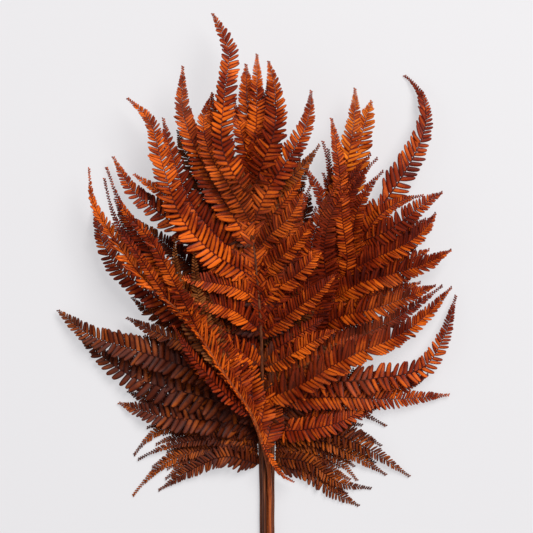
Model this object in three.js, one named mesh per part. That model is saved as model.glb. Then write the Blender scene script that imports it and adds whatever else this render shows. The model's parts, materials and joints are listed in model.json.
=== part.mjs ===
// A bunch of five preserved bracken fronds, tied round their stalks and laid on a flat surface.
// Millimetres, +Z up. +Y runs from the cut ends of the stalks to the tips of the fronds, and +X is to
// the right seen from above. The origin is under the middle of the bunch, on the surface it lies on.
//
// Each frond is a stalk, the pinnae (the side leaves) that leave it on the left and on the right, and
// a terminal leaf at its tip. A leaf here is a thin closed blade, thickest along its rib, with the
// outline that its rows of leaflets fill.

import * as THREE from 'three';

// ---- Driving dimensions -----------------------------------------------------------------------

const stalkRadius = 2.4; // at the cut end
const stalkTipRadius = 1.0; // where the terminal leaf starts
const taperStartsAt = 120; // the height up the bunch where the stalks start to thin
const stalkSides = 8;
const stalkStep = 19; // between the rings of a stalk

const bladeThickness = 0.9; // on the rib of a leaf
const bladeTipWidth = 0.8; // at the very end of a leaf
const ribWidth = 1.5; // of the bare rib next to the stalk
const bareRib = 3; // the length of rib with no leaflets on it
const bladeOpening = 0.42; // how fast half of the blade widens along the rib, past the bare part
const bladeStep = 15; // between the rings of a blade
const taperPower = 2.3; // a higher power keeps a leaf wide for more of its length
const shingleRoll = 9; // degrees by which a pinna's lower edge is lifted over the next one down
const gap = 0.4; // between two pieces that touch

const tieHeight = 46; // the middle of the tie, above the cut ends
const tieWidth = 8;
const tieThickness = 1.6;

// The stalks lie in two rows in the tie: three below and two in the hollows between them.
const stalkPitch = 2 * stalkRadius + gap;
const lowRow = tieThickness + 0.3 + stalkRadius;
const highRow = lowRow + stalkPitch * Math.sin(Math.PI / 3);
const bundleTop = 118; // the stalks run side by side up to here

const bundlePlaces = {
  back: { x: -stalkPitch, z: lowRow },
  right: { x: 0, z: lowRow },
  low: { x: stalkPitch, z: lowRow },
  front: { x: -stalkPitch / 2, z: highRow },
  leaning: { x: stalkPitch / 2, z: highRow },
};

// ---- Colours of the dyed leaves and stalks ------------------------------------------------------

const finishes = {
  rust: { color: 0xb4481a, roughness: 0.55 },
  orange: { color: 0xcc6420, roughness: 0.55 },
  umber: { color: 0x7a3414, roughness: 0.6 },
  stalk: { color: 0x5b3018, roughness: 0.5 },
  twine: { color: 0xb09060, roughness: 0.9 },
};
const materials = Object.fromEntries(
  Object.entries(finishes).map(([name, finish]) => [
    name,
    new THREE.MeshStandardMaterial({ name, metalness: 0, ...finish }),
  ]),
);

// ---- The fronds -------------------------------------------------------------------------------
// A stalk's route goes on from the bundle, as [x, y, z] with x from the middle of the bundle, y from
// the cut ends and z from the surface. A pinna leaves its stalk at the height "from" and runs through
// its own points to its tip. Its width is that of the blade at its widest. A few pinnae differ in
// finish from the rest of their frond.

const fronds = [
  {
    name: 'front',
    finish: 'rust',
    stalk: [[-4, 170, 11], [-4, 198, 17], [-5, 252, 30], [-6, 289, 38], [-10, 341, 45],
      [-14, 383, 48], [-16, 428, 49], [-17, 468, 47]],
    tip: { width: 22, route: [[-20, 518, 43], [-21, 554, 36]] },
    left: [
      { from: 211, width: 24, route: [[-27, 225, 22], [-55, 241, 25], [-87, 266, 26]] },
      { from: 252, width: 30, route: [[-29, 267, 35], [-57, 277, 38], [-84, 296, 36]] },
      { from: 289, width: 28, route: [[-32, 307, 43], [-62, 318, 46], [-90, 326, 44]] },
      { from: 318, width: 24, route: [[-27, 329, 47], [-52, 335, 51], [-88, 341, 51]] },
      { from: 341, width: 29, route: [[-52, 364, 54], [-84, 398, 57], [-106, 460, 54],
        [-117, 497, 48], [-141, 521, 40]] },
      { from: 373, width: 28, route: [[-35, 404, 53], [-60, 445, 57], [-83, 503, 53],
        [-84, 553, 43]] },
      { from: 396, width: 26, bare: 20, route: [[-35, 427, 67], [-56, 462, 70], [-63, 494, 64],
        [-54, 524, 55]] },
      { from: 418, width: 25, bare: 20, route: [[-26, 431, 73], [-44, 468, 81], [-41, 530, 75],
        [-38, 565, 61], [-55, 605, 50]] },
    ],
    right: [
      { from: 218, width: 30, route: [[33, 233, 32], [76, 258, 32], [146, 291, 25], [187, 332, 16]] },
      { from: 250, width: 26, route: [[23, 263, 38], [48, 278, 40], [69, 288, 38]] },
      { from: 284, width: 26, route: [[23, 305, 43], [50, 325, 44], [70, 346, 40]] },
      { from: 316, width: 26, route: [[15, 333, 48], [38, 351, 49], [56, 372, 45]] },
      { from: 341, width: 26, route: [[8, 356, 51], [30, 376, 53], [47, 400, 49]] },
      { from: 368, width: 24, route: [[4, 384, 54], [22, 400, 57], [36, 426, 53]] },
      { from: 396, width: 26, route: [[2, 430, 59], [22, 460, 61], [40, 495, 55], [44, 528, 45]] },
      { from: 423, width: 28, bare: 10, route: [[-4, 455, 64], [7, 485, 66], [8, 525, 59], [1, 558, 48]] },
      { from: 453, width: 19, route: [[-11, 485, 55], [-10, 520, 53], [-10, 565, 44]] },
    ],
  },
  {
    name: 'leaning',
    finish: 'orange',
    stalk: [[2, 146, 13], [-4, 171, 20], [-17, 206, 34], [-42, 243, 46], [-79, 298, 58],
      [-110, 327, 61]],
    tip: { width: 22, roll: 35, route: [[-128, 346, 57], [-161, 393, 46], [-174, 416, 42],
      [-178, 451, 38]] },
    left: [
      { from: 204, width: 18, roll: 45, route: [[-46, 229, 46], [-73, 261, 57], [-93, 293, 63]] },
    ],
    right: [
      { from: 176, width: 9, roll: -55, route: [[6, 155, 28], [14, 143, 25], [27, 135, 20]] },
      { from: 286, width: 26, route: [[-93, 338, 72], [-115, 378, 76], [-143, 410, 71],
        [-160, 452, 60]] },
      { from: 318, width: 16, route: [[-124, 358, 70], [-147, 392, 68], [-156, 415, 62],
        [-162, 441, 55]] },
    ],
  },
  {
    name: 'right',
    finish: 'rust',
    stalk: [[1, 150, 6], [6, 190, 10.5], [20, 232, 16], [43, 283, 21], [64, 314, 25],
      [79, 335, 28], [95, 378, 31], [114, 411, 31]],
    tip: { width: 30, route: [[131, 435, 30], [145, 458, 28], [157, 485, 23], [160, 503, 18],
      [153, 530, 9], [138, 545, 1.5]] },
    left: [
      { from: 300, width: 28, finish: 'orange', route: [[58, 350, 31], [70, 408, 39], [80, 455, 45],
        [86, 490, 42], [88, 513, 37], [88, 532, 31]] },
      { from: 318, width: 20, route: [[66, 375, 40], [55, 418, 43], [36, 455, 41]] },
      { from: 335, width: 22, route: [[80, 358, 40], [75, 398, 52], [71, 458, 50], [64, 501, 40]] },
      { from: 372, width: 28, finish: 'orange', route: [[85, 413, 29], [86, 443, 28], [95, 483, 26],
        [105, 518, 22]] },
    ],
    right: [
      { from: 186, width: 26, route: [[43, 188, 18], [78, 197, 16], [105, 215, 8]] },
      { from: 218, width: 26, route: [[63, 220, 15], [131, 218, 12], [185, 222, 5]] },
      { from: 240, width: 30, route: [[78, 236, 20], [108, 239, 21], [157, 250, 20], [177, 279, 17],
        [191, 324, 8]] },
      { from: 285, width: 28, route: [[70, 300, 28], [103, 308, 31], [133, 318, 29], [171, 333, 20]] },
      { from: 320, width: 30, route: [[88, 333, 33], [133, 346, 34], [163, 356, 30], [185, 368, 23]] },
      { from: 350, width: 26, route: [[110, 361, 36], [138, 374, 38], [158, 389, 34], [169, 405, 28]] },
      { from: 378, width: 24, route: [[118, 386, 41], [143, 403, 43], [158, 415, 39], [176, 426, 32]] },
    ],
  },
  {
    name: 'back',
    finish: 'umber',
    stalk: [[-6, 150, 5], [-8, 190, 8], [-10, 225, 11], [-12, 275, 14], [-10, 330, 16],
      [-5, 390, 16], [0, 430, 14]],
    tip: { width: 26, route: [[4, 465, 10], [6, 505, 1.5]] },
    left: [
      { from: 152, width: 26, bare: 10, route: [[-42, 160, 11], [-77, 146, 6], [-110, 125, 1]] },
      { from: 160, width: 18, bare: 26, route: [[-52, 168, 4], [-97, 156, 3], [-122, 136, 2],
        [-137, 118, 1]] },
      { from: 169, width: 16, bare: 26, route: [[-60, 177, 9], [-107, 168, 6.5], [-131, 156, 2]] },
      { from: 178, width: 24, bare: 26, route: [[-52, 184, 6], [-97, 190, 3.5], [-120, 178, 2],
        [-135, 160, 0.8]] },
      { from: 188, width: 34, bare: 12, route: [[-52, 196, 13], [-102, 200, 11], [-151, 214, 2]] },
      { from: 206, width: 38, bare: 12, route: [[-67, 221, 18], [-135, 240, 12], [-172, 266, 6],
        [-194, 287, 1.5]] },
      { from: 226, width: 30, route: [[-67, 246, 23], [-137, 269, 20], [-177, 282, 15],
        [-213, 309, 6]] },
      { from: 253, width: 24, route: [[-57, 268, 28], [-102, 282, 28], [-143, 301, 20]] },
      { from: 273, width: 30, finish: 'rust', route: [[-67, 292, 32], [-117, 325, 32], [-157, 360, 22],
        [-170, 393, 11], [-175, 416, 2]] },
      { from: 318, width: 28, finish: 'rust', route: [[-52, 356, 34], [-98, 398, 35], [-134, 427, 27],
        [-156, 464, 14]] },
      { from: 348, width: 24, finish: 'rust', route: [[-52, 393, 42], [-102, 423, 44], [-135, 445, 38]] },
    ],
    right: [],
  },
  {
    name: 'low',
    finish: 'umber',
    stalk: [[5.5, 150, 4], [6, 180, 3.5], [7, 210, 3.5], [11, 250, 4], [18, 300, 5], [26, 340, 6]],
    tip: { width: 26, route: [[34, 380, 5], [44, 425, 1.5]] },
    left: [],
    right: [
      { from: 150, width: 28, bare: 10, route: [[36, 148, 2.5], [68, 123, 2], [94, 109, 1]] },
      { from: 159, width: 20, bare: 14, route: [[43, 153, 7], [73, 133, 5], [107, 127, 1]] },
      { from: 168, width: 18, bare: 22, route: [[43, 170, 3], [73, 155, 3], [92, 134, 1.5]] },
      { from: 177, width: 22, bare: 14, route: [[43, 180, 9], [83, 163, 8], [122, 140, 1.5]] },
      { from: 188, width: 24, bare: 14, route: [[50, 188, 13], [98, 170, 12], [146, 138, 2]] },
      { from: 200, width: 16, bare: 20, route: [[63, 200, 6], [93, 203, 6], [121, 190, 2]] },
    ],
  },
];

// ---- Shapes -----------------------------------------------------------------------------------

const up = new THREE.Vector3(0, 0, 1);
const toVector = ([x, y, z]) => new THREE.Vector3(x, y, z);

function smoothCurve(points) {
  return new THREE.CatmullRomCurve3(points, false, 'centripetal');
}

// A closed solid through rings of points, each ring seen anticlockwise from its next ring.
function loftRings(rings) {
  const sides = rings[0].length;
  const points = rings.flat();
  const triangles = [];
  for (let ring = 0; ring + 1 < rings.length; ring += 1) {
    for (let side = 0; side < sides; side += 1) {
      const next = (side + 1) % sides;
      const a = ring * sides + side;
      const b = ring * sides + next;
      triangles.push(a, b, b + sides, a, b + sides, a + sides);
    }
  }
  const lastRing = (rings.length - 1) * sides;
  for (let side = 1; side + 1 < sides; side += 1) {
    triangles.push(0, side + 1, side);
    triangles.push(lastRing, lastRing + side, lastRing + side + 1);
  }
  const geometry = new THREE.BufferGeometry().setFromPoints(points);
  geometry.setIndex(triangles);
  geometry.computeVertexNormals();
  return geometry;
}

// Two directions across a curve: "side" points left of the way it runs, and "top" points up from it.
function directionsAt(curve, share, roll = 0) {
  const along = curve.getTangentAt(share);
  const level = new THREE.Vector3().crossVectors(up, along).normalize();
  const side = level.applyAxisAngle(along, THREE.MathUtils.degToRad(roll));
  const top = new THREE.Vector3().crossVectors(along, side).normalize();
  return { side, top };
}

function stalkGeometry(curve) {
  const length = curve.getLength();
  const steps = Math.ceil(length / stalkStep);
  const rings = [];
  for (let step = 0; step <= steps; step += 1) {
    const share = step / steps;
    const centre = curve.getPointAt(share);
    const { side, top } = directionsAt(curve, share);
    const thinned = Math.max(0, share * length - taperStartsAt) / (length - taperStartsAt);
    const radius = THREE.MathUtils.lerp(stalkRadius, stalkTipRadius, thinned);
    const ring = [];
    for (let corner = 0; corner < stalkSides; corner += 1) {
      const angle = (2 * Math.PI * (corner + 0.5)) / stalkSides;
      ring.push(centre.clone()
        .addScaledVector(side, radius * Math.cos(angle))
        .addScaledVector(top, radius * Math.sin(angle)));
    }
    rings.push(ring);
  }
  return loftRings(rings);
}

// Half the width of a blade at a share of its length: bare rib, quick opening, long taper to the tip.
function halfWidthAt(share, length, width, bare) {
  const opened = ribWidth / 2 + Math.max(0, share * length - bare) * bladeOpening;
  const tapered = (width / 2) * (1 - share ** taperPower);
  return Math.max(bladeTipWidth / 2, Math.min(opened, tapered));
}

function bladeGeometry(curve, width, roll, bare) {
  const length = curve.getLength();
  const steps = Math.max(5, Math.ceil(length / bladeStep));
  const rings = [];
  for (let step = 0; step <= steps; step += 1) {
    const share = step / steps;
    const centre = curve.getPointAt(share);
    const settled = Math.min(1, (share * length) / (bare + 12)); // the roll grows from none at the stalk
    const { side, top } = directionsAt(curve, share, roll * settled);
    const half = halfWidthAt(share, length, width, bare);
    const rise = (bladeThickness / 2) * (1 - 0.5 * share);
    rings.push([
      centre.clone().addScaledVector(side, half),
      centre.clone().addScaledVector(top, rise),
      centre.clone().addScaledVector(side, -half),
      centre.clone().addScaledVector(top, -rise),
    ]);
  }
  return loftRings(rings);
}

// The point of a curve that first reaches the height y.
function pointAtHeight(curve, y) {
  let low = 0;
  let high = 1;
  while (high - low > 1e-5) {
    const middle = (low + high) / 2;
    if (curve.getPointAt(middle).y < y) low = middle;
    else high = middle;
  }
  return { share: low, point: curve.getPointAt(low) };
}

function stalkCurve(frond) {
  const { x, z } = bundlePlaces[frond.name];
  const bundled = [[x, 0, z], [x, bundleTop / 2, z], [x, bundleTop, z]];
  return smoothCurve([...bundled, ...frond.stalk].map(toVector));
}

// A pinna starts just clear of its stalk's skin, on the side that it leaves by.
function pinnaCurve(stalk, pinna) {
  const { share, point } = pointAtHeight(stalk, pinna.from);
  const route = pinna.route.map(toVector);
  const away = route[0].clone().sub(point);
  const along = stalk.getTangentAt(share);
  away.addScaledVector(along, -away.dot(along)).normalize();
  const radius = THREE.MathUtils.lerp(
    stalkRadius,
    stalkTipRadius,
    Math.max(0, share * stalk.getLength() - taperStartsAt) / (stalk.getLength() - taperStartsAt),
  );
  const start = point.clone().addScaledVector(away, radius + gap + bladeThickness / 2);
  return smoothCurve([start, ...route]);
}

// The terminal leaf goes on from the end of the stalk.
function tipCurve(stalk, tip) {
  const end = stalk.getPointAt(1);
  const start = end.clone().addScaledVector(stalk.getTangentAt(1), gap);
  return smoothCurve([start, ...tip.route.map(toVector)]);
}

// ---- The tie: a flat band of twine drawn round the outside of the stalks ---------------------------

function bandOutline(radius, Outline) {
  const corners = ['back', 'low', 'leaning', 'front'].map((name) => bundlePlaces[name]);
  const outline = new Outline();
  corners.forEach((corner, index) => {
    const before = corners[(index + corners.length - 1) % corners.length];
    const after = corners[(index + 1) % corners.length];
    const from = Math.atan2(corner.z - before.z, corner.x - before.x) - Math.PI / 2;
    const to = Math.atan2(after.z - corner.z, after.x - corner.x) - Math.PI / 2;
    outline.absarc(corner.x, corner.z, radius, from, to, false);
  });
  outline.closePath();
  return outline;
}

function tieGeometry() {
  const inside = stalkRadius + 0.3;
  const shape = bandOutline(inside + tieThickness, THREE.Shape);
  shape.holes.push(bandOutline(inside, THREE.Path));
  const geometry = new THREE.ExtrudeGeometry(shape, {
    depth: tieWidth,
    bevelEnabled: false,
    curveSegments: 6,
  });
  // The outline was drawn in x and z, and is extruded along y.
  geometry.rotateX(Math.PI / 2);
  geometry.translate(0, tieHeight + tieWidth / 2, 0);
  return geometry;
}

// ---- Assembly ---------------------------------------------------------------------------------

function addMesh(group, name, geometry, finish) {
  const mesh = new THREE.Mesh(geometry, materials[finish]);
  mesh.name = name;
  group.add(mesh);
}

function frondGroup(frond) {
  const group = new THREE.Group();
  const stalk = stalkCurve(frond);
  addMesh(group, `frond_${frond.name}_stalk`, stalkGeometry(stalk), 'stalk');
  for (const side of ['left', 'right']) {
    const lowerEdgeUp = side === 'left' ? shingleRoll : -shingleRoll;
    frond[side].forEach((pinna, index) => {
      const { width, roll = lowerEdgeUp, bare = bareRib, finish = frond.finish } = pinna;
      const geometry = bladeGeometry(pinnaCurve(stalk, pinna), width, roll, bare);
      addMesh(group, `frond_${frond.name}_pinna_${side}_${index + 1}`, geometry, finish);
    });
  }
  const { width, roll = 0 } = frond.tip;
  const tip = bladeGeometry(tipCurve(stalk, frond.tip), width, roll, 0);
  addMesh(group, `frond_${frond.name}_tip`, tip, frond.finish);
  return group;
}

const bunch = new THREE.Group();
bunch.add(...fronds.map(frondGroup));
addMesh(bunch, 'twine_tie', tieGeometry(), 'twine');

// The origin goes under the middle of the bunch.
const box = new THREE.Box3().setFromObject(bunch, true);
const middle = box.getCenter(new THREE.Vector3());
bunch.position.set(-middle.x, -middle.y, -box.min.z);

export default bunch;
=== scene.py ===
import json
import math

import bmesh
import bpy
import numpy as np
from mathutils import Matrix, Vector


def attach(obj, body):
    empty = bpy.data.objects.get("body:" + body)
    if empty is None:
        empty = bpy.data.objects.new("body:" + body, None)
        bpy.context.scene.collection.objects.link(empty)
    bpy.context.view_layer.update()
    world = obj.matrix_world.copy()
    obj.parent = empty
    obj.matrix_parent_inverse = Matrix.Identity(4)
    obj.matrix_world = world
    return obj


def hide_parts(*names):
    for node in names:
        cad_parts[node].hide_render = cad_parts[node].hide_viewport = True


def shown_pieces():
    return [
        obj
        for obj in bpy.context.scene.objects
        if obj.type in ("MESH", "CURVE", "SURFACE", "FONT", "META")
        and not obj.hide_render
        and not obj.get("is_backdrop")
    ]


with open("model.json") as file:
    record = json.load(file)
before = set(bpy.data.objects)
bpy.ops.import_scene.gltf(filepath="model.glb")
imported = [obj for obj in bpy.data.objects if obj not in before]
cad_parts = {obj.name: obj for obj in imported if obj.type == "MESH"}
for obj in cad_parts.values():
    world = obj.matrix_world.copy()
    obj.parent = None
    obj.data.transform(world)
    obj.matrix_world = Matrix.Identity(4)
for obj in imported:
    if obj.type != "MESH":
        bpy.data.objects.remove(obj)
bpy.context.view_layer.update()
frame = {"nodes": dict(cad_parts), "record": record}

chance = np.random.default_rng(11)
cadNodes = frame["nodes"]
nodeSlots = {entry["node"]: entry["material_slot"] for entry in frame["record"]["subparts"]}

# the bunch lies on the floor, and the camera looks straight down on it
viewer = {
    "distance": 3.2,
    "across": 0.533,  # the width that the picture takes in
    "middle": (0.0104, 0.0489, 0.035),
}
bpy.ops.object.camera_add(
    location=(viewer["middle"][0], viewer["middle"][1], viewer["middle"][2] + viewer["distance"])
)
camera = bpy.context.object
camera.data.lens = camera.data.sensor_width * viewer["distance"] / viewer["across"]
camera.data.clip_end = 50
bpy.context.scene.camera = camera
bpy.context.scene.view_settings.view_transform = "Standard"

studio = {
    "floor": (0.80, 0.79, 0.81),
    "glow": 0.62,  # the share of the floor's brightness that is its own, as on a light table
    "air": (0.97, 0.97, 1.0),
    "airStrength": 0.28,
    # each lamp: place, size, watts, colour; all aim at the middle of the bunch
    "lamps": {
        "keyLamp": ((1.1, 1.35, 2.6), 1.7, 98, (1.0, 0.985, 0.96)),
        "fillLamp": ((-1.9, -0.4, 1.8), 1.6, 8, (0.95, 0.97, 1.0)),
    },
}


def clearSelection():
    if bpy.context.object and bpy.context.object.mode != "OBJECT":
        bpy.ops.object.mode_set(mode="OBJECT")
    bpy.ops.object.select_all(action="DESELECT")


def lightStudio():
    clearSelection()
    bpy.ops.mesh.primitive_plane_add(size=9)
    floor = bpy.context.object
    floor.name = "floor"
    paper = bpy.data.materials.new("floorPaper")
    paper.use_nodes = True
    shader = paper.node_tree.nodes["Principled BSDF"]
    unlit = [part * (1 - studio["glow"]) for part in studio["floor"]]
    shader.inputs["Base Color"].default_value = (*unlit, 1)
    shader.inputs["Emission Color"].default_value = (*studio["floor"], 1)
    shader.inputs["Emission Strength"].default_value = studio["glow"]
    shader.inputs["Roughness"].default_value = 0.9
    floor.data.materials.append(paper)
    floor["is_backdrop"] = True
    air = bpy.data.worlds.new("studioAir")
    bpy.context.scene.world = air
    air.use_nodes = True
    sky = air.node_tree.nodes["Background"]
    sky.inputs["Color"].default_value = (*studio["air"], 1)
    sky.inputs["Strength"].default_value = studio["airStrength"]
    for name, (place, size, watts, colour) in studio["lamps"].items():
        bpy.ops.object.light_add(type="AREA", location=place)
        lamp = bpy.context.object
        lamp.name = name
        lamp.data.size = size
        lamp.data.energy = watts
        lamp.data.color = colour
        aim = Vector(viewer["middle"]) - Vector(place)
        lamp.rotation_euler = aim.to_track_quat("-Z", "Y").to_euler()


lightStudio()
print("camera and studio ready")

# reading the lines of the stalks and leaves from the CAD nodes


def ringsOf(node):
    merged = bmesh.new()
    merged.from_mesh(cadNodes[node].data)
    bmesh.ops.remove_doubles(merged, verts=merged.verts, dist=1e-6)
    merged.verts.ensure_lookup_table()
    places = np.array([v.co for v in merged.verts])
    near = [[e.other_vert(v).index for e in v.link_edges] for v in merged.verts]
    merged.free()

    def layersFrom(start):
        seen, layers = set(start), [list(start)]
        while True:
            layer = sorted({n for v in layers[-1] for n in near[v]} - seen)
            if not layer:
                return layers
            seen.update(layer)
            layers.append(layer)

    # an end of the node is its farthest corner from any other, with what lies close to it
    far = layersFrom([0])[-1][0]
    endSize = 0.0062 if node.endswith("stalk") else 0.003
    end = np.flatnonzero(np.linalg.norm(places - places[far], axis=1) < endSize)
    return [places[layer] for layer in layersFrom([int(v) for v in end])]


def smoothLine(values, samples):
    # a Catmull-Rom curve through evenly spaced values
    values = np.asarray(values, float)
    padded = np.concatenate([[2 * values[0] - values[1]], values, [2 * values[-1] - values[-2]]])
    at = np.asarray(samples) * (len(values) - 1)
    start = np.minimum(at.astype(int), len(values) - 2)
    t = at - start
    if values.ndim > 1:
        t = t[:, None]
    a, b, c, d = (padded[start + k] for k in range(4))
    square = (2 * a - 5 * b + 4 * c - d) * t**2
    cube = (3 * b - a - 3 * c + d) * t**3
    return 0.5 * (2 * b + (c - a) * t + square + cube)


def readAt(values, samples):
    # straight lines through rows of evenly spaced values
    steps = np.linspace(0, 1, len(values))
    return np.stack([np.interp(samples, steps, column) for column in np.transpose(values)], axis=1)


def unit(v):
    return v / np.linalg.norm(v, axis=-1, keepdims=True)


def sidesOf(line):
    # level, to the left of where the line is heading
    return unit(np.cross([0, 0, 1], unit(np.gradient(line, axis=0))))


def stalkLine(node):
    rings = ringsOf(node)
    if rings[0][:, 1].mean() > rings[-1][:, 1].mean():
        rings.reverse()
    centres = np.array([ring.mean(0) for ring in rings])
    radii = np.array([np.linalg.norm(ring - ring.mean(0), axis=1).mean() for ring in rings])
    return centres, radii


def leafLine(node, stalk):
    rings = ringsOf(node)
    gaps = [np.linalg.norm(stalk - ring.mean(0), axis=1).min() for ring in (rings[0], rings[-1])]
    if gaps[0] > gaps[1]:
        rings.reverse()
    centres = np.array([ring.mean(0) for ring in rings])
    along = unit(np.gradient(centres, axis=0))
    sides, halves = [], []
    for ring, forward in zip(rings, along):
        # the two corners farthest apart are the blade's edges
        apart = np.linalg.norm(ring[:, None] - ring[None], axis=2)
        one, other = np.unravel_index(apart.argmax(), apart.shape)
        side = unit(ring[one] - ring[other])
        if np.cross(forward, side)[2] < 0:
            side = -side
        sides.append(side)
        halves.append(apart.max() / 2)
    return centres, np.array(sides), np.array(halves)


# one leaflet, modelled flat and one metre long, to be copied at every place on every leaf

leaflet = {
    # how far along, how wide, and how far the edges hang below the midrib, in leaflet widths
    "stations": [
        (0.0, 0.92, 0.05),
        (0.2, 1.0, 0.09),
        (0.45, 1.0, 0.1),
        (0.68, 0.92, 0.09),
        (0.86, 0.74, 0.08),
        (0.96, 0.48, 0.05),
        (1.0, 0.2, 0.02),
    ],
    "thickness": 0.3,  # as a share of half the width
}


def modelLeaflet():
    clearSelection()
    bpy.ops.mesh.primitive_cylinder_add(
        vertices=4, radius=0.5, depth=1, location=(0.5, 0, 0), rotation=(0, math.pi / 2, 0)
    )
    shape = bpy.context.object
    shape.name = "leafletPattern"
    bpy.ops.object.transform_apply(location=True, rotation=True, scale=True)
    bpy.ops.object.mode_set(mode="EDIT")
    for along, _, _ in leaflet["stations"][1:-1]:
        bpy.ops.mesh.select_all(action="SELECT")
        bpy.ops.mesh.bisect(plane_co=(along, 0, 0), plane_no=(1, 0, 0))
    for along, width, hang in leaflet["stations"]:
        body = bmesh.from_edit_mesh(shape.data)
        for corner in body.verts:
            corner.select = abs(corner.co.x - along) < 1e-3
        body.select_flush_mode()
        bmesh.update_edit_mesh(shape.data)
        bpy.ops.transform.resize(
            value=(1, width, leaflet["thickness"] * (0.4 + 0.6 * width)), center_override=(along, 0, 0)
        )
        body = bmesh.from_edit_mesh(shape.data)
        for corner in body.verts:  # only the edges hang
            corner.select = abs(corner.co.x - along) < 1e-3 and abs(corner.co.y) > 1e-3
        body.select_flush_mode()
        bmesh.update_edit_mesh(shape.data)
        bpy.ops.transform.translate(value=(0, 0, -hang * 2))
    bpy.ops.mesh.select_all(action="SELECT")
    bpy.ops.mesh.normals_make_consistent(inside=False)
    bpy.ops.object.mode_set(mode="OBJECT")
    corners = np.array([v.co for v in shape.data.vertices])
    faces = [list(face.vertices) for face in shape.data.polygons]
    bpy.data.objects.remove(shape, do_unlink=True)
    return corners, faces


leafletCorners, leafletFaces = modelLeaflet()
print("leaflet modelled with", len(leafletFaces), "faces")

# how the leaflets stand on a leaf; lengths in metres, angles in degrees

foliage = {
    "bare": 0.001,  # of the rib, before the first leaflets
    "closest": 0.0029,  # between the smallest leaflets
    "closer": (0.28, 0.022),  # by how much they close up at the tip, and over what length
    "shortest": 0.0019,
    "spread": 0.22,  # more room for longer leaflets
    "clearance": 0.0011,
    "overlap": 1.2,  # leaflet width as a share of its room
    "overlapAtTip": 0.84,
    "widest": 0.62,  # leaflet width as a share of its length
    "fullness": 1.14,  # leaflet rows against the width of the CAD blade
    "opening": 0.012,  # the length over which the rows reach their full width
    "openFrom": 0.45,  # their width at the foot of the leaf, as a share of the full one
    "taper": 2.7,  # the higher, the later the rows narrow towards the tip
    "trough": 20,  # how far the two rows are folded up
    "lean": 17,  # towards the leaf's tip
    "leanAtTip": 29,
    "bias": 0,  # more lean for the left row and less for the right one
    "uneven": 0,  # longer leaflets in the left row
    "roll": 24,  # each leaflet about its own length
    "curl": 0.10,  # down, at the leaflet's end
    "sweep": 0.12,  # towards the leaf's tip, at the leaflet's end
    "scatter": 6,  # in every angle
    "lengths": 0.05,  # how much leaflets differ in length, and in width
    "widths": 0.06,
    "ribRadius": 0.00055,
    "ribRise": 0.0004,
    "lowest": 0.0003,  # above the floor
    "tone": None,  # 0 the darkest leaf, 1 the brightest
    "shade": 0,  # painted shade and light: how much darker the left row is, and how much brighter the right one, as one row lies in shade and the other faces the light
}


def drawRod(name, points, radii, sides, closed=False):
    clearSelection()
    bpy.ops.curve.primitive_bezier_curve_add()
    rod = bpy.context.object
    rod.name = name
    rod.location = (0, 0, 0)
    line = rod.data
    line.splines.clear()
    line.dimensions = "3D"
    line.bevel_depth = 1
    line.bevel_resolution = max(0, sides // 2 - 2)
    line.use_fill_caps = True
    spline = line.splines.new("POLY")
    spline.use_cyclic_u = closed
    spline.points.add(len(points) - 1)
    for point, place, radius in zip(spline.points, points, radii):
        point.co = (*place, 1)
        point.radius = radius
    rod.select_set(True)
    bpy.ops.object.convert(target="MESH")
    rod = bpy.context.object
    bpy.ops.object.mode_set(mode="EDIT")
    bpy.ops.mesh.select_all(action="SELECT")
    bpy.ops.mesh.remove_doubles(threshold=1e-7)
    bpy.ops.mesh.normals_make_consistent(inside=False)
    bpy.ops.object.mode_set(mode="OBJECT")
    return rod


def rotated(v, axis, angle):
    # v turned about axis, row by row
    angle = np.asarray(angle)[:, None]
    return v * np.cos(angle) + np.cross(axis, v) * np.sin(angle) + axis * (
        (axis * v).sum(1, keepdims=True) * (1 - np.cos(angle))
    )


def leafletPlaces(centres, halves, habit):
    line = smoothLine(centres, np.linspace(0, 1, 400))
    length = np.linalg.norm(np.diff(line, axis=0), axis=1).sum()
    fullHalf = halves.max() * habit["fullness"]
    closer, closerOver = habit["closer"]
    stations = []
    at = habit["bare"] / length
    while at < 0.99:
        past = (at * length - habit["bare"]) / habit["opening"]
        opened = min(1, habit["openFrom"] + (1 - habit["openFrom"]) * past)
        half = fullHalf * opened * (1 - at ** habit["taper"])
        ending = min(1, 1 - closer + closer * (1 - at) * length / closerOver)
        room = max(habit["closest"], habit["spread"] * half + habit["clearance"]) * ending
        stations.append((at, room, half))
        at += room / length
    return length, np.array(stations)


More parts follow.
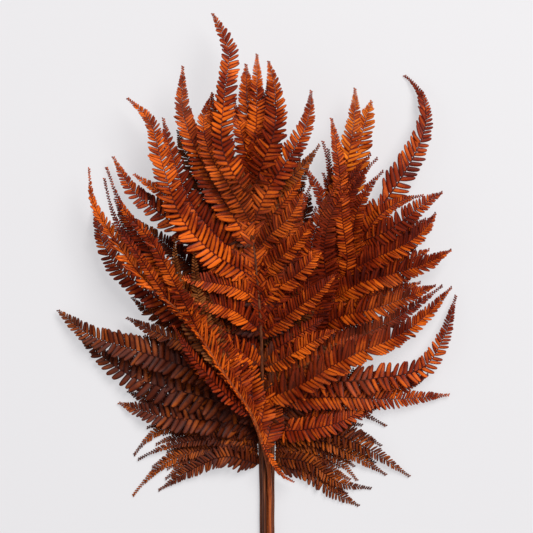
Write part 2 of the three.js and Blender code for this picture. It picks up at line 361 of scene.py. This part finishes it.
def leafletRow(hand, centres, sides, length, stations, habit, leafTone):
    # the corners of one row's leaflets and what the dye reads there; hand is 1 left, -1 right
    at, room, half = stations.T
    count = len(at)
    ahead = smoothLine(centres, np.clip(at + 0.01, 0, 1))
    behind = smoothLine(centres, np.clip(at - 0.01, 0, 1))
    forward = unit(ahead - behind)
    side = readAt(sides, at)
    side = unit(side - forward * (side * forward).sum(1, keepdims=True))
    top = np.cross(forward, side)

    # each leaflet's three directions: along it, up from it and across it
    scatter = np.radians(habit["scatter"]) * chance.standard_normal((4, count))
    fold = np.radians(habit["trough"]) + scatter[0]
    out = side * hand * np.cos(fold)[:, None] + top * np.sin(fold)[:, None]
    up = top * np.cos(fold)[:, None] - side * hand * np.sin(fold)[:, None]
    lean = habit["lean"] + (habit["leanAtTip"] - habit["lean"]) * at**3 + hand * habit["bias"]
    lean = np.radians(lean) + scatter[1]
    axis = unit(out * np.cos(lean)[:, None] + forward * np.sin(lean)[:, None])
    up = unit(up - axis * (up * axis).sum(1, keepdims=True))
    up = rotated(up, axis, -hand * np.radians(habit["roll"]) + scatter[2])
    across = np.cross(up, axis)

    long = half / np.cos(np.minimum(lean, 1.0))
    long = long * (1 + habit["lengths"] * chance.standard_normal(count))
    long = np.maximum(long * (1 + hand * habit["uneven"]), habit["shortest"])
    cover = habit["overlap"] + (habit["overlapAtTip"] - habit["overlap"]) * at**1.5
    wide = room * cover * (1 + habit["widths"] * chance.standard_normal(count))
    wide = np.minimum(wide, habit["widest"] * long + 0.0004)
    curl = habit["curl"] * (1 + 2 * scatter[3])
    # the left row stands a quarter of the room ahead, and the right row a quarter behind
    origin = smoothLine(centres, np.clip(at + 0.25 * hand * room / length, 0, 0.995))
    x, y, z = leafletCorners.T
    place = (
        origin[:, None]
        + axis[:, None] * (long[:, None] * x)[..., None]
        + across[:, None] * (wide[:, None] * y)[..., None]
        + up[:, None] * (wide[:, None] * z * 0.5 - (curl * long)[:, None] * x**2)[..., None]
        + forward[:, None] * (habit["sweep"] * long[:, None] * x**2)[..., None]
    )
    # what would be under the floor lies on it
    place[..., 2] += np.maximum(0, habit["lowest"] - place[..., 2].min(axis=1, keepdims=True))

    # the leaflet's own tone, the way along it, where its rims are for their painted shade, and the leaf's
    # tone with its rows' painted shade and light
    tone = np.empty((count, len(x), 4))
    tone[..., 0] = chance.random(count)[:, None]
    tone[..., 1] = x
    tone[..., 2] = np.abs(y) > 0.02
    # painted shade and light: one row of the leaf is made darker and the other brighter, as light falls
    # on its fold
    tone[..., 3] = leafTone - hand * habit["shade"]
    return place.reshape(-1, 3), tone.reshape(-1, 4)


def drawRib(name, centres, length, widest, habit, leafTone):
    # it is thicker in a wide leaf, and thins out towards the tip
    at = np.linspace(0, 0.985, max(8, int(length / 0.006)))
    radii = habit["ribRadius"] * (1 - 0.75 * at) * (0.75 + 0.5 * widest / 0.014)
    rib = drawRod(name, smoothLine(centres, at) + [0, 0, habit["ribRise"]], radii, 6)
    paint = rib.data.attributes.new("leafTone", "FLOAT_COLOR", "POINT")
    tone = np.tile([0.3, 0.5, 0.8, leafTone], (len(rib.data.vertices), 1))
    paint.data.foreach_set("color", tone.ravel())
    return rib


def growLeaf(name, centres, sides, halves, **changes):
    habit = {**foliage, **changes}
    for trait, share in (("spread", 0.1), ("trough", 0.25), ("lean", 0.15), ("roll", 0.2)):
        habit[trait] *= 1 + share * (2 * chance.random() - 1)
    length, stations = leafletPlaces(centres, halves, habit)
    leafTone = chance.random()
    if habit["tone"] is not None:
        leafTone = habit["tone"]
    rows = [leafletRow(hand, centres, sides, length, stations, habit, leafTone) for hand in (1, -1)]
    corners = np.concatenate([places for places, _ in rows])
    starts = range(0, len(corners), len(leafletCorners))
    faces = [[start + v for v in face] for start in starts for face in leafletFaces]
    mesh = bpy.data.meshes.new(name)
    mesh.from_pydata(corners.tolist(), [], faces)
    paint = mesh.attributes.new("leafTone", "FLOAT_COLOR", "POINT")
    paint.data.foreach_set("color", np.concatenate([tones for _, tones in rows]).ravel())
    leaf = bpy.data.objects.new(name, mesh)
    bpy.context.scene.collection.objects.link(leaf)
    rib = drawRib(name + "Rib", centres, length, halves.max(), habit, leafTone)
    clearSelection()
    rib.select_set(True)
    leaf.select_set(True)
    bpy.context.view_layer.objects.active = leaf
    bpy.ops.object.join()
    leaf.data.shade_smooth()
    leaf.data.set_sharp_from_angle(angle=math.radians(50))
    return leaf


# the few kinds of node that the materials share


def addNoise(tree, place, scale, detail):
    noise = tree.nodes.new("ShaderNodeTexNoise")
    noise.inputs["Scale"].default_value = scale
    noise.inputs["Detail"].default_value = detail
    tree.links.new(place, noise.inputs["Vector"])
    return noise.outputs["Fac"]


def multiplyAdd(tree, level, by, plus):
    # level * by + plus, where plus is a number or another node's output
    node = tree.nodes.new("ShaderNodeMath")
    node.operation = "MULTIPLY_ADD"
    tree.links.new(level, node.inputs[0])
    node.inputs[1].default_value = by
    if isinstance(plus, bpy.types.NodeSocket):
        tree.links.new(plus, node.inputs[2])
    else:
        node.inputs[2].default_value = plus
    return node.outputs[0]


def addRamp(tree, level, colours, steps):
    node = tree.nodes.new("ShaderNodeValToRGB")
    ramp = node.color_ramp.elements
    ramp[0].position = steps[0]
    ramp[0].color = (*colours[0], 1)
    ramp[1].position = steps[2]
    ramp[1].color = (*colours[2], 1)
    ramp.new(steps[1]).color = (*colours[1], 1)
    tree.links.new(level, node.inputs["Fac"])
    return node.outputs["Color"]


def addRelief(tree, height, strength, distance):
    bump = tree.nodes.new("ShaderNodeBump")
    bump.inputs["Strength"].default_value = strength
    bump.inputs["Distance"].default_value = distance
    tree.links.new(height, bump.inputs["Height"])
    tree.links.new(bump.outputs["Normal"], tree.nodes["Principled BSDF"].inputs["Normal"])


# dyed leaves: four shades of one finish

leafColours = {
    # three steps from dark to light, then the colour of the painted sheen, a pinkish reflected light, and
    # how strong it is
    "rust_leaf": {
        "steps": [(0.05, 0.003, 0.001), (0.25, 0.020, 0.001), (0.84, 0.145, 0.007)],
        "paintedSheen": (0.42, 0.13, 0.05),
        "sheenStrength": 0.14,
    },
    "orange_leaf": {
        "steps": [(0.08, 0.005, 0.001), (0.38, 0.044, 0.002), (0.94, 0.235, 0.012)],
        "paintedSheen": (0.55, 0.17, 0.05),
        "sheenStrength": 0.14,
    },
    "umber_leaf": {
        "steps": [(0.03, 0.003, 0.001), (0.115, 0.015, 0.001), (0.42, 0.082, 0.004)],
        "paintedSheen": (0.22, 0.075, 0.02),
        "sheenStrength": 0.25,
    },
    "olive_leaf": {
        "steps": [(0.03, 0.006, 0.001), (0.15, 0.032, 0.005), (0.44, 0.145, 0.035)],
        "paintedSheen": (0.30, 0.13, 0.065),
        "sheenStrength": 0.3,
    },
}

leafFinish = {
    "base": -0.34,
    # how much brighter each of these makes the dye
    "blotches": 1.1,
    "leafletTone": 0.24,
    "leafTone": 0.24,
    # painted shade at the leaflets' rims, so each midrib reads as a lighter streak
    "rimShade": -0.95,
    "grain": 0.3,
    "steps": (0.12, 0.5, 0.84),  # where on the ramp the three colours are
    "blotchScale": 38,
    "grainScale": 900,
    "sheenScale": 13,
    "sheenFrom": (0.56, 0.72),  # where the painted sheen begins in its noise, and where it is full
    "veins": 70,  # they leave the midrib at a slant
    "veinSlant": 0.12,
    "veinDepth": 0.25,
    "grainDepth": 0.8,
    "relief": (0.35, 0.0004),  # strength and depth
    "roughness": (0.3, 0.32),  # times the grain, plus this
    "specular": 0.13,
}


def leafMaterial(name, colours):
    material = bpy.data.materials.new(name)
    material.use_nodes = True
    tree = material.node_tree
    nodes, links = tree.nodes, tree.links
    shader = nodes["Principled BSDF"]
    shader.inputs["Specular IOR Level"].default_value = leafFinish["specular"]
    tone = nodes.new("ShaderNodeAttribute")
    tone.attribute_name = "leafTone"
    parts = nodes.new("ShaderNodeSeparateColor")
    links.new(tone.outputs["Color"], parts.inputs["Color"])
    place = nodes.new("ShaderNodeTexCoord").outputs["Object"]
    blotches = addNoise(tree, place, leafFinish["blotchScale"], 4)
    grain = addNoise(tree, place, leafFinish["grainScale"], 5)
    rimShade = nodes.new("ShaderNodeMath")  # painted shade: the leaflets' rims are darker, which leaves a lighter streak along each midrib
    rimShade.operation = "POWER"
    links.new(parts.outputs["Blue"], rimShade.inputs[0])
    rimShade.inputs[1].default_value = 4
    level = multiplyAdd(tree, blotches, leafFinish["blotches"], leafFinish["base"])
    level = multiplyAdd(tree, parts.outputs["Red"], leafFinish["leafletTone"], level)
    level = multiplyAdd(tree, tone.outputs["Alpha"], leafFinish["leafTone"], level)
    level = multiplyAdd(tree, rimShade.outputs[0], leafFinish["rimShade"], level)
    level = multiplyAdd(tree, grain, leafFinish["grain"], level)
    dye = addRamp(tree, level, colours["steps"], leafFinish["steps"])
    # a painted sheen, pinkish reflected light, in broad patches
    sheenPatches = nodes.new("ShaderNodeMapRange")
    sheenPatches.inputs["From Min"].default_value = leafFinish["sheenFrom"][0]
    sheenPatches.inputs["From Max"].default_value = leafFinish["sheenFrom"][1]
    sheenPatches.inputs["To Max"].default_value = colours["sheenStrength"]
    links.new(addNoise(tree, place, leafFinish["sheenScale"], 3), sheenPatches.inputs["Value"])
    paintedSheen = nodes.new("ShaderNodeMix")
    paintedSheen.data_type = "RGBA"
    links.new(sheenPatches.outputs["Result"], paintedSheen.inputs["Factor"])
    links.new(dye, paintedSheen.inputs["A"])
    paintedSheen.inputs["B"].default_value = (*colours["paintedSheen"], 1)
    links.new(paintedSheen.outputs["Result"], shader.inputs["Base Color"])
    slant = multiplyAdd(tree, parts.outputs["Blue"], leafFinish["veinSlant"], parts.outputs["Green"])
    veins = nodes.new("ShaderNodeMath")
    veins.operation = "SINE"
    links.new(multiplyAdd(tree, slant, leafFinish["veins"], 0), veins.inputs[0])
    ridges = multiplyAdd(tree, veins.outputs[0], leafFinish["veinDepth"], 0)
    surface = multiplyAdd(tree, grain, leafFinish["grainDepth"], ridges)
    addRelief(tree, surface, *leafFinish["relief"])
    links.new(multiplyAdd(tree, grain, *leafFinish["roughness"]), shader.inputs["Roughness"])
    return material


leafMaterials = {slot: leafMaterial(slot + "Dye", colours) for slot, colours in leafColours.items()}

bark = {
    "colours": {
        "brown": [(0.028, 0.007, 0.003), (0.10, 0.022, 0.006), (0.26, 0.075, 0.022)],
        "red": [(0.07, 0.012, 0.003), (0.28, 0.05, 0.008), (0.6, 0.15, 0.025)],
    },
    "steps": (0.3, 0.5, 0.75),
    "fibres": (900, 22, 900),  # fine across a stalk, long down it
    "roughness": 0.5,
    "specular": 0.25,
    "relief": (0.5, 0.0004),
}


def stalkMaterial(name, colours):
    material = bpy.data.materials.new(name)
    material.use_nodes = True
    tree = material.node_tree
    shader = tree.nodes["Principled BSDF"]
    shader.inputs["Roughness"].default_value = bark["roughness"]
    shader.inputs["Specular IOR Level"].default_value = bark["specular"]
    place = tree.nodes.new("ShaderNodeTexCoord").outputs["Object"]
    stretch = tree.nodes.new("ShaderNodeMapping")
    stretch.inputs["Scale"].default_value = bark["fibres"]
    tree.links.new(place, stretch.inputs["Vector"])
    fibres = addNoise(tree, stretch.outputs["Vector"], 1, 5)
    colour = addRamp(tree, fibres, colours, bark["steps"])
    tree.links.new(colour, shader.inputs["Base Color"])
    addRelief(tree, fibres, *bark["relief"])
    return material


barkMaterials = {name: stalkMaterial(name + "Bark", colours) for name, colours in bark["colours"].items()}


def dressLeaf(leaf, slot, dye=None):
    leaf.data.materials.clear()
    leaf.data.materials.append(leafMaterials[dye or slot])
    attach(leaf, "root")


# the stalks of the five fronds

frondNames = ["low", "back", "right", "front", "leaning"]
stalkShape = {
    "points": 90,
    "sides": 12,
    "swelling": 0.04,  # slight, as a share of the thickness
    "swellings": 61,
}
stalkLines = {}
for frondName in frondNames:
    node = f"frond_{frondName}_stalk"
    centres, radii = stalkLine(node)
    stalkLines[frondName] = centres
    shares = np.linspace(0, 1, stalkShape["points"])
    thick = np.interp(shares, np.linspace(0, 1, len(radii)), radii)
    thick *= 1 + stalkShape["swelling"] * np.sin(shares * stalkShape["swellings"])
    name = "stalk" + frondName.capitalize()
    stalk = drawRod(name, smoothLine(centres, shares), thick, stalkShape["sides"])
    stalk.data.shade_smooth()
    stalk.data.set_sharp_from_angle(angle=math.radians(50))
    stalk.data.materials.clear()
    stalk.data.materials.append(barkMaterials["red" if frondName == "leaning" else "brown"])
    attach(stalk, "root")
    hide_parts(node)
print("stalks drawn")

# the main leaves: long narrow leaflets packed edge to edge, or wide ones standing apart
close = {"spread": 0.16, "clearance": 0.001, "overlap": 1.4, "roll": 34, "trough": 32, "fullness": 1.24}
loose = {"spread": 0.36, "overlap": 0.82, "overlapAtTip": 0.95, "roll": 12, "trough": 8}
leafHabits = {
    "leaning_tip": {
        "trough": 24, "spread": 0.2, "lean": 32, "taper": 1.4, "scatter": 11, "tone": 1.1,
    },
    "leaning_pinna_left_1": {**loose, "tone": 0.0},
    "leaning_pinna_right_1": {"taper": 4, "overlap": 1.35, "overlapAtTip": 1.2, "tone": 0.5},
    "leaning_pinna_right_2": {
        "spread": 0.2, "fullness": 0.76, "tone": 0.35, "scatter": 11, "taper": 1.6,
    },
    "leaning_pinna_right_3": {
        "spread": 0.2, "fullness": 0.76, "tone": 0.1, "scatter": 11, "taper": 1.6,
    },
    "right_tip": {
        **loose, "taper": 1.2, "lean": 27, "leanAtTip": 42, "fullness": 1.2, "bias": 10,
        "uneven": 0.08, "tone": 0.1,
    },
    "right_pinna_left_1": {"taper": 3.6, "spread": 0.27, "overlap": 1.0, "tone": 0.95},
    "right_pinna_left_3": {"spread": 0.2, "fullness": 0.84, "tone": 0.45, "taper": 4.5},
    "right_pinna_left_4": {"taper": 5, "spread": 0.27, "overlap": 0.96, "tone": 0.9},
    "right_pinna_right_2": {"spread": 0.24, "overlap": 1.0, "tone": 0.35},
    "right_pinna_right_3": {**loose, "spread": 0.34, "overlap": 0.76, "taper": 2.2, "tone": 0.2},
    "right_pinna_right_7": {"spread": 0.26, "overlap": 1.05, "tone": 0.2},
    "back_pinna_left_5": {
        "spread": 0.36, "overlap": 1.0, "overlapAtTip": 0.85, "taper": 3, "tone": 0.2,
    },
    "back_pinna_left_6": {**loose, "spread": 0.46, "overlap": 0.74, "taper": 2.4, "tone": 0.1},
    "back_pinna_left_7": {"spread": 0.3, "overlap": 1.1, "taper": 4, "tone": 0.1},
    "back_pinna_left_9": loose,
    "back_pinna_left_10": {**loose, "overlap": 0.72},
    "front_pinna_left_5": {"spread": 0.26, "overlap": 1.05},
    "front_pinna_left_8": {
        "spread": 0.36, "overlap": 0.92, "taper": 5, "fullness": 1.0, "uneven": -0.1, "tone": 0.6,
    },
}
sharedHabits = [
    # a row of leaves, the numbers of those that grow alike, and how
    # the shade values paint one row of each leaf darker and the other brighter, as light falls on the
    # fold
    ("right_pinna_right", (4, 5, 6), {**close, "tone": 0.2, "shade": 0.38}),
    ("front_pinna_right", (1, 2, 3, 4, 5, 6), {**close, "shade": 0.38}),
    ("front_pinna_right", (7, 8, 9), {"spread": 0.25, "overlap": 1.06, "overlapAtTip": 0.8}),
    ("front_pinna_left", (1, 2, 3, 4), {**close, "shade": -0.38}),
    ("back_pinna_left", (1, 2, 3, 4), {"overlap": 1.05, "overlapAtTip": 0.8, "taper": 1.8}),
    (
        "low_pinna_right", (1, 2, 3, 4, 5, 6),
        {"spread": 0.3, "overlap": 0.84, "overlapAtTip": 0.74, "taper": 2},
    ),
]
for row, numbers, habit in sharedHabits:
    for number in numbers:
        leafHabits[f"{row}_{number}"] = habit

leafLines = {}
for node in sorted(cadNodes):
    if "pinna" not in node and not node.endswith("_tip"):
        continue
    leafName = node.removeprefix("frond_")
    frondName = leafName.split("_")[0]
    leafLines[leafName] = leafLine(node, stalkLines[frondName])
    leaf = growLeaf("leaf_" + leafName, *leafLines[leafName], **leafHabits.get(leafName, {}))
    dressLeaf(leaf, nodeSlots[node], "rust_leaf" if frondName == "leaning" else None)
    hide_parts(node)
print("leaves grown")

# rows of leaflets that stand on the stalks themselves, above their lower leaves
stalkRows = {
    # where they start along the stalk, half width, their turn about it, slot, how they grow
    "leaning": (
        0.34, 0.0088, 28, "orange_leaf",
        {
            "trough": 38, "lean": 38, "opening": 0.15, "openFrom": 0.05, "scatter": 10,
            "tone": 0.7, "uneven": -0.4, "spread": 0.17,
        },
    ),
    "right": (0.66, 0.013, 0, "rust_leaf", {"trough": 14, "lean": 34, "spread": 0.34}),
    "front": (0.62, 0.0115, 0, "rust_leaf", {"trough": 24, "lean": 34}),
}
for frondName, (start, half, turn, slot, habit) in stalkRows.items():
    line = smoothLine(stalkLines[frondName], np.linspace(start, 1, 14))
    along = unit(np.gradient(line, axis=0))
    side = rotated(sidesOf(line), along, np.full(len(line), math.radians(turn)))
    habit = {"taper": 40, "opening": 0.05, **habit}
    row = growLeaf("row_" + frondName, line, side, np.full(len(line), half), **habit)
    dressLeaf(row, slot, "rust_leaf")
print("rows on the stalks grown")

# more leaves from the stalks' own sides, which lie underneath the others

lowestRib = 0.0022  # above the floor, for every leaf that has no CAD blade

spray = {
    "half": 0.0125,
    "bend": 0.25,  # towards the stalk's tip
    "rise": 0.004,  # half way along
    "shortAbove": 0.7,  # the height from which right-hand leaves are shortened
    "shortened": 0.55,
}


def sprayLine(frondName, height, hand, length, angle, drop):
    # height is where the leaf leaves its stalk, as a share of the stalk; hand is 1 left, -1 right
    start, onward = smoothLine(stalkLines[frondName], np.array([height, min(1, height + 0.02)]))
    ahead = unit((onward - start) * [1, 1, 0])
    outward = np.array([-ahead[1], ahead[0], 0]) * hand
    turn = math.radians(angle)
    heading = ahead * math.cos(turn) + outward * math.sin(turn)
    s = np.linspace(0, 1, 12)[:, None]
    bent = (ahead - outward * 0.3) * spray["bend"] * s**2
    line = start + length * (heading * s + bent)
    line[:, 2:] += spray["rise"] * np.sin(np.pi * s) - drop * np.minimum(1, 3 * s) ** 2
    line[:, 2] = np.maximum(line[:, 2], lowestRib)
    return line, sidesOf(line), np.full(len(line), spray["half"])


def mixed(pair, share):
    return pair[0] + (pair[1] - pair[0]) * share


under = {
    # heights, how many, then lengths, angles and tones at both ends, drop, sides, slot
    # tones below zero, darker than the darkest leaf, are painted shade for these leaves beneath the
    # others
    "back": ((0.44, 0.93), 12, (0.09, 0.11), (66, 44), (-0.6, 0.5), 0.0, (1, -1), "umber_leaf"),
    "low": ((0.52, 0.97), 8, (0.10, 0.08), (60, 58), (-0.7, -0.7), 0.0, (1, -1), "umber_leaf"),
    "front": ((0.42, 0.80), 7, (0.07, 0.06), (62, 56), (-0.5, -0.5), 0.012, (1, -1), "umber_leaf"),
    "right": ((0.44, 0.86), 8, (0.065, 0.06), (62, 58), (-0.5, -0.5), 0.012, (1, -1), "rust_leaf"),
    "leaning": ((0.46, 0.88), 9, (0.05, 0.06), (34, 22), (0.3, 0.3), 0.006, (-1,), "rust_leaf"),
}
for frondName, (heights, count, lengths, angles, tones, drop, hands, slot) in under.items():
    for number in range(count):
        share = number / (count - 1)
        height = mixed(heights, share)
        angle = mixed(angles, share) + 6 * chance.random()
        for hand in hands:
            reach = mixed(lengths, share)
            if hand < 0 and height > spray["shortAbove"]:
                reach *= spray["shortened"]
            name = f"under_{frondName}_{'right' if hand < 0 else 'left'}_{number + 1}"
            line = sprayLine(frondName, height, hand, reach, angle, drop)
            dressLeaf(growLeaf(name, *line, tone=mixed(tones, share)), slot)

# leaves that pass behind the others and show their tips between them
short = [
    # stalk, height it leaves at, tip, half width, bow, dye, tone
    ("right", 0.80, (0.1150, 0.1615, 0.046), 0.0110, -0.17, "rust_leaf", -0.3),
    ("right", 0.83, (0.1217, 0.1575, 0.052), 0.0115, -0.17, "rust_leaf", -0.2),
    ("right", 0.87, (0.1277, 0.1450, 0.046), 0.0095, -0.14, "rust_leaf", -0.2),
    ("right", 0.91, (0.1675, 0.1200, 0.026), 0.0095, -0.14, "rust_leaf", 0.1),
    ("right", 0.76, (0.1010, 0.1400, 0.062), 0.0125, -0.16, "rust_leaf", 0.0),
    ("right", 0.68, (0.0890, 0.1420, 0.060), 0.0120, -0.12, "rust_leaf", 0.1),
    ("right", 0.60, (0.0660, 0.1765, 0.042), 0.0120, 0.10, "rust_leaf", 0.0),
    ("right", 0.63, (0.0715, 0.1690, 0.040), 0.0120, 0.07, "rust_leaf", 0.0),
    ("front", 0.90, (0.0640, 0.1715, 0.050), 0.0095, 0.10, "umber_leaf", 0.7),
    ("front", 0.68, (0.0560, 0.1330, 0.042), 0.0115, 0.00, "rust_leaf", 0.2),
    ("front", 0.60, (0.0610, 0.1100, 0.040), 0.0115, 0.00, "rust_leaf", 0.0),
    ("leaning", 0.76, (-0.0800, 0.0790, 0.058), 0.0105, -0.10, "olive_leaf", 0.5),
    ("leaning", 0.72, (-0.0610, 0.0720, 0.058), 0.0105, -0.06, "olive_leaf", 0.6),
    ("leaning", 0.71, (-0.0500, 0.0320, 0.050), 0.0095, 0.00, "olive_leaf", 0.2),
    ("front", 0.95, (-0.0220, 0.2150, 0.036), 0.0110, 0.00, "rust_leaf", 0.3),
    ("right", 0.60, (0.1880, 0.0300, 0.012), 0.0135, 0.05, "rust_leaf", -0.1),
]
for number, (frondName, height, tip, half, bow, dye, tone) in enumerate(short):
    olive = dye == "olive_leaf"
    start = smoothLine(stalkLines[frondName], np.array([height]))[0]
    reach = np.array(tip) - start
    s = np.linspace(0, 1, 12)[:, None]
    line = start + reach * s + np.cross([0, 0, 1], reach) * bow * 4 * s * (s - 1)
    line[:, 2:] += (-0.004 if olive else 0.008) * np.sin(np.pi * s)  # the olive ones dip
    name = f"short_{frondName}_{number + 1}"
    leaf = growLeaf(name, line, sidesOf(line), np.full(len(line), half), taper=1.7, tone=tone)
    dressLeaf(leaf, "umber_leaf" if olive else dye, dye)
print("leaves underneath grown")

# smaller leaves fill in between neighbours on a stalk, a little lower than they are

infill = {
    # how far from one neighbour to the other, how much lower, how long, tone
    # the second leaf lies lower and gets the darker tone, and often the darker dye: painted shade for the
    # deeper layer
    "leaves": [(0.35, 0.008, 0.82, 0.3), (0.7, 0.013, 0.72, 0.1)],
    # the dyes of those two leaves
    "dyes": {
        "front": ("rust_leaf", "olive_leaf"),
        "right": ("rust_leaf", "rust_leaf"),
        "leaning": ("rust_leaf", "umber_leaf"),
        "back": ("umber_leaf", "umber_leaf"),
        "low": ("umber_leaf", "umber_leaf"),
    },
    # nothing grows between these and the next leaf of their row
    "leftOpen": ["right_pinna_right_3", "front_pinna_right_7"],
}


def resampled(line, count, reach):
    centres, sides, halves = line
    shares = np.linspace(0, reach, count)
    half = np.interp(shares, np.linspace(0, 1, len(halves)), halves)
    return smoothLine(centres, shares), unit(readAt(sides, shares)), half


def leafBetween(one, other, share, drop, reach):
    first, second = resampled(one, 12, reach), resampled(other, 12, reach)
    centres, sides, halves = (a * (1 - share) + b * share for a, b in zip(first, second))
    centres[:, 2] = np.maximum(centres[:, 2] - drop, lowestRib)
    return centres, unit(sides), halves


for frondName in frondNames:
    for hand in ("left", "right"):
        row = f"{frondName}_pinna_{hand}"
        for k in range(1, 12):
            one, other = f"{row}_{k}", f"{row}_{k + 1}"
            if other not in leafLines:
                break
            if one in infill["leftOpen"]:
                continue
            for number, (share, drop, reach, tone) in enumerate(infill["leaves"]):
                dye = infill["dyes"][frondName][number]
                line = leafBetween(leafLines[one], leafLines[other], share, drop, reach)
                leaf = growLeaf(f"infill_{frondName}_{hand}_{k}_{number + 1}", *line, tone=tone)
                dressLeaf(leaf, "umber_leaf" if number else dye, dye)
print("gaps filled")

# the tie: turns of two-ply twine side by side, and a knot on top of them

tie = {
    "turns": 5,
    "strand": 0.00046,
    "ply": 0.8,  # how far the two strands lie from their middle, in strand radii
    "twists": 26,  # in one turn round the stalks
    "inset": 0.0008,  # of the turns, from the outside of the CAD band
    "wander": 0.0002,
    "knotLoop": 0.0011,
    "knotRise": (0.0009, 0.0010),  # of its middle over the band, and of its loops over that
    "knotTwists": 16,
    "colours": [(0.16, 0.085, 0.03), (0.43, 0.28, 0.125), (0.66, 0.50, 0.29)],
    "steps": (0.32, 0.5, 0.7),
    "fibres": 1700,
    "roughness": 0.85,
    "relief": (0.7, 0.0003),
}


def twineMaterial():
    material = bpy.data.materials.new("twineFibre")
    material.use_nodes = True
    tree = material.node_tree
    shader = tree.nodes["Principled BSDF"]
    shader.inputs["Roughness"].default_value = tie["roughness"]
    place = tree.nodes.new("ShaderNodeTexCoord").outputs["Object"]
    fibres = addNoise(tree, place, tie["fibres"], 6)
    colour = addRamp(tree, fibres, tie["colours"], tie["steps"])
    tree.links.new(colour, shader.inputs["Base Color"])
    addRelief(tree, fibres, *tie["relief"])
    return material


def twinePair(name, path, twists):
    # two strands twisted round each other along a closed path
    count = len(path)
    along = unit(np.roll(path, -1, axis=0) - np.roll(path, 1, axis=0))
    first = unit(np.cross(along, [0.12, 1, 0.07]))  # any direction that no part of the path takes
    second = np.cross(along, first)
    turn = 2 * np.pi * twists * np.arange(count) / count
    thick = np.full(count, tie["strand"])
    strands = []
    for number in range(2):
        at = (turn + np.pi * number)[:, None]
        swing = (first * np.cos(at) + second * np.sin(at)) * tie["strand"] * tie["ply"]
        strands.append(drawRod(f"{name}_{number}", path + swing, thick, 8, closed=True))
    return strands


def wrapTie():
    corners = np.array([v.co for v in cadNodes["twine_tie"].data.vertices])
    middle = (corners.min(0) + corners.max(0)) / 2
    width = np.ptp(corners[:, 1])
    # the outline of the band in x and z, from the outermost corner in every direction
    angles = np.linspace(0, 2 * np.pi, 360, endpoint=False)
    rays = np.stack([np.cos(angles), np.sin(angles)], axis=1)
    flat = corners[:, [0, 2]] - middle[[0, 2]]
    hull = (flat @ rays.T).max(0) - tie["inset"]
    slope = np.gradient(np.concatenate([hull[-2:], hull, hull[:2]]))[2:-2] / (angles[1] - angles[0])
    tangents = np.stack([-rays[:, 1], rays[:, 0]], axis=1)
    x, z = (rays * hull[:, None] + tangents * slope[:, None]).T
    strands = []
    for number in range(tie["turns"]):
        y = width * ((number + 0.5) / tie["turns"] - 0.5)
        wander = tie["wander"] * np.sin(angles * 2 + number * 1.7)
        path = np.stack([middle[0] + x, middle[1] + y + wander, middle[2] + z], axis=1)
        path = smoothLine(np.concatenate([path, path[:1]]), np.arange(520) / 520)
        strands += twinePair(f"turn_{number + 1}", path, tie["twists"])
    t = np.arange(360) / 360 * 2 * np.pi
    loop = tie["knotLoop"] * (2 + np.cos(3 * t))
    over, rise = tie["knotRise"]
    knot = [
        middle[0] + loop * np.cos(2 * t),
        middle[1] + loop * np.sin(2 * t),
        corners[:, 2].max() + over + rise * np.sin(3 * t),
    ]
    strands += twinePair("knot", np.stack(knot, axis=1), tie["knotTwists"])
    clearSelection()
    for strand in strands:
        strand.select_set(True)
    bpy.context.view_layer.objects.active = strands[0]
    bpy.ops.object.join()
    twine = bpy.context.object
    twine.name = "twineTie"
    twine.data.shade_smooth()
    twine.data.materials.clear()
    twine.data.materials.append(twineMaterial())
    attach(twine, "root")
    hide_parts("twine_tie")


wrapTie()
print("tie wrapped")

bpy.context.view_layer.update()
meshes = [piece.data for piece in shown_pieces() if piece.type == "MESH"]
print("triangles", sum(len(face.vertices) - 2 for mesh in meshes for face in mesh.polygons))
